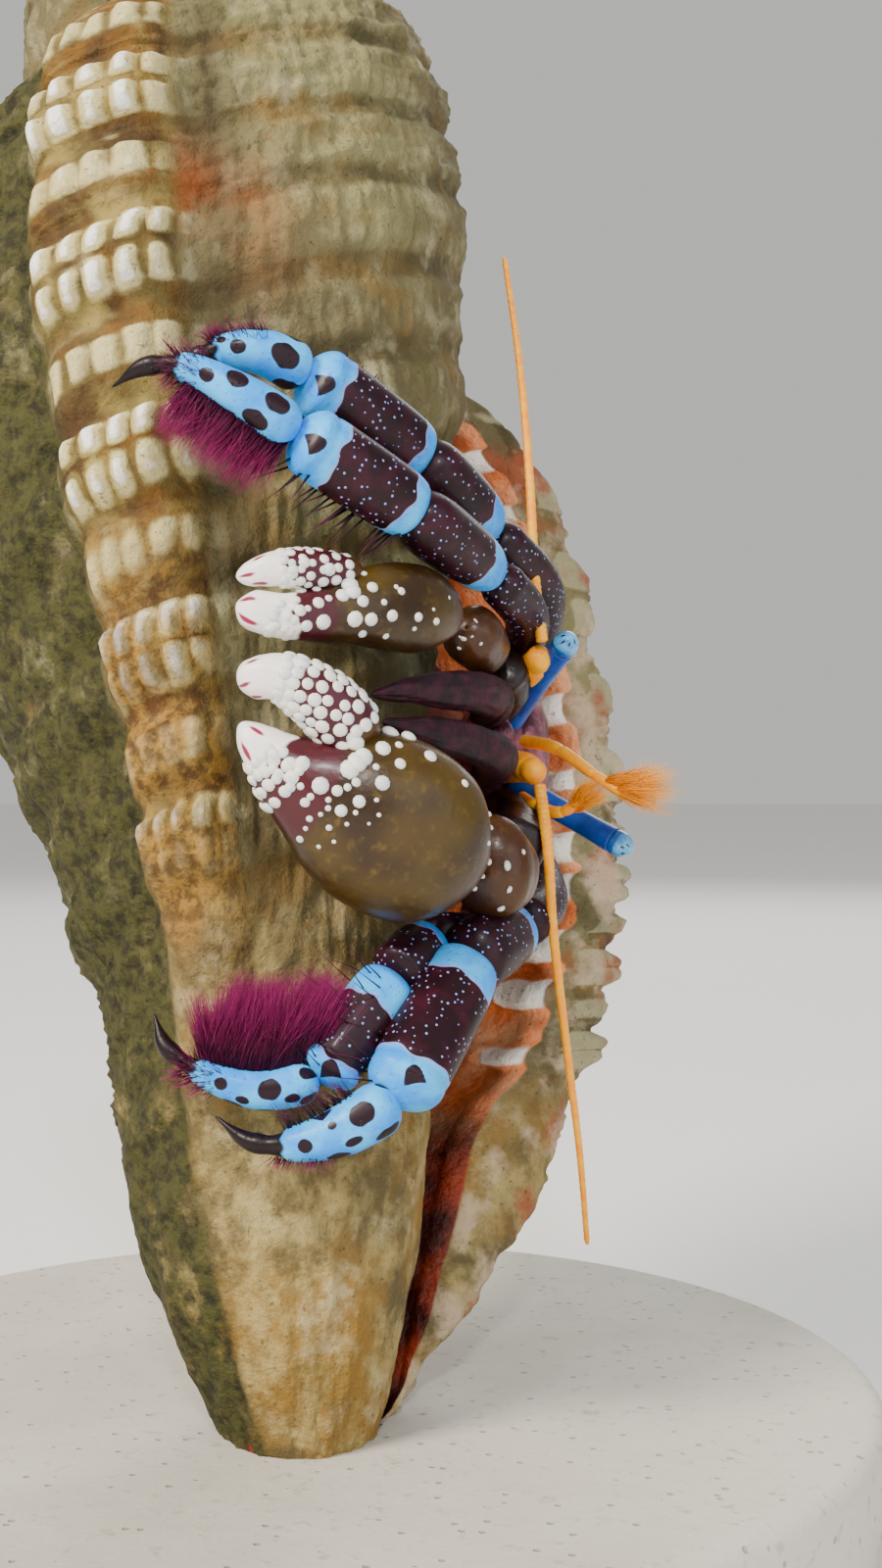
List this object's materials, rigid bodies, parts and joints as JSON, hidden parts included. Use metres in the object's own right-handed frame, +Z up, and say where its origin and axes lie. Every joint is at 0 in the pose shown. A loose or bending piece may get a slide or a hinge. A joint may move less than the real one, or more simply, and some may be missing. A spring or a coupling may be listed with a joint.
{
  "type": "hermit crab in a triton shell",
  "caption": "Life-size still model of an elegant hermit crab looking out of the aperture of an upright triton shell, legs and claws laid over the shell, on a plain round stone base",
  "frame": {"origin": "middle of the underside of the stone base", "axes": "+Z up, along the shell's height; the crab faces -Y, its back is to +X and its left side is down, to -Z"},
  "size_m": [0.068, 0.068, 0.1257],
  "materials": {
    "shell_tan": "matt chalky shell with beaded cords, weathered tan",
    "shell_pale": "matt chalky shell, pale bead rows",
    "shell_orange": "satin glazed shell lip, orange with white teeth",
    "canal_ochre": "matt worn shell, ochre",
    "leg_blue": "satin cuticle, sky blue with maroon spots",
    "leg_dark": "satin cuticle, maroon black with pale specks and blue bands",
    "claw_olive": "glossy cuticle, olive brown with white tubercles",
    "claw_rust": "glossy cuticle, rust brown",
    "finger_white": "satin cuticle, white with maroon marks",
    "eye_blue": "satin cuticle, deep blue",
    "cornea_blue": "polished cornea, light blue",
    "feeler_orange": "satin cuticle, orange",
    "body_mauve": "satin cuticle, mauve",
    "mouth_maroon": "satin cuticle, dark maroon",
    "abdomen_pink": "soft skin, dull pink",
    "base_stone": "honed pale limestone"
  },
  "bodies": {
    "root": {"shell_spire": "shell_tan", "shell_body_whorl": "shell_tan", "shell_varix": "shell_pale", "shell_siphonal_canal": "canal_ochre", "shell_outer_lip": "shell_orange", "abdomen": "abdomen_pink", "carapace_shield": "body_mauve", "cephalothorax": "body_mauve", "leg_right_fourth": "body_mauve", "leg_right_fifth": "body_mauve", "leg_left_fourth": "body_mauve", "leg_left_fifth": "body_mauve", "cornea_right": "cornea_blue", "eyestalk_right": "eye_blue", "antenna_right_flagellum": "feeler_orange", "antenna_right_peduncle": "feeler_orange", "antennule_right": "feeler_orange", "claw_right_finger": "finger_white", "claw_right_palm": "claw_olive", "claw_right_carpus": "claw_rust", "claw_right_merus": "leg_dark", "maxilliped_right": "mouth_maroon", "leg_right_second_dactyl": "leg_blue", "leg_right_second_propodus": "leg_dark", "leg_right_second_carpus": "leg_dark", "leg_right_second_merus": "leg_dark", "leg_right_third_dactyl": "leg_blue", "leg_right_third_propodus": "leg_dark", "leg_right_third_carpus": "leg_dark", "leg_right_third_merus": "leg_dark", "cornea_left": "cornea_blue", "eyestalk_left": "eye_blue", "antenna_left_flagellum": "feeler_orange", "antenna_left_peduncle": "feeler_orange", "antennule_left": "feeler_orange", "claw_left_finger": "finger_white", "claw_left_palm": "claw_olive", "claw_left_carpus": "claw_rust", "claw_left_merus": "leg_dark", "maxilliped_left": "mouth_maroon", "leg_left_second_dactyl": "leg_blue", "leg_left_second_propodus": "leg_dark", "leg_left_second_carpus": "leg_dark", "leg_left_second_merus": "leg_dark", "leg_left_third_dactyl": "leg_blue", "leg_left_third_propodus": "leg_dark", "leg_left_third_carpus": "leg_dark", "leg_left_third_merus": "leg_dark", "mouth": "mouth_maroon", "stand_base": "base_stone"}
  },
  "joints": []
}
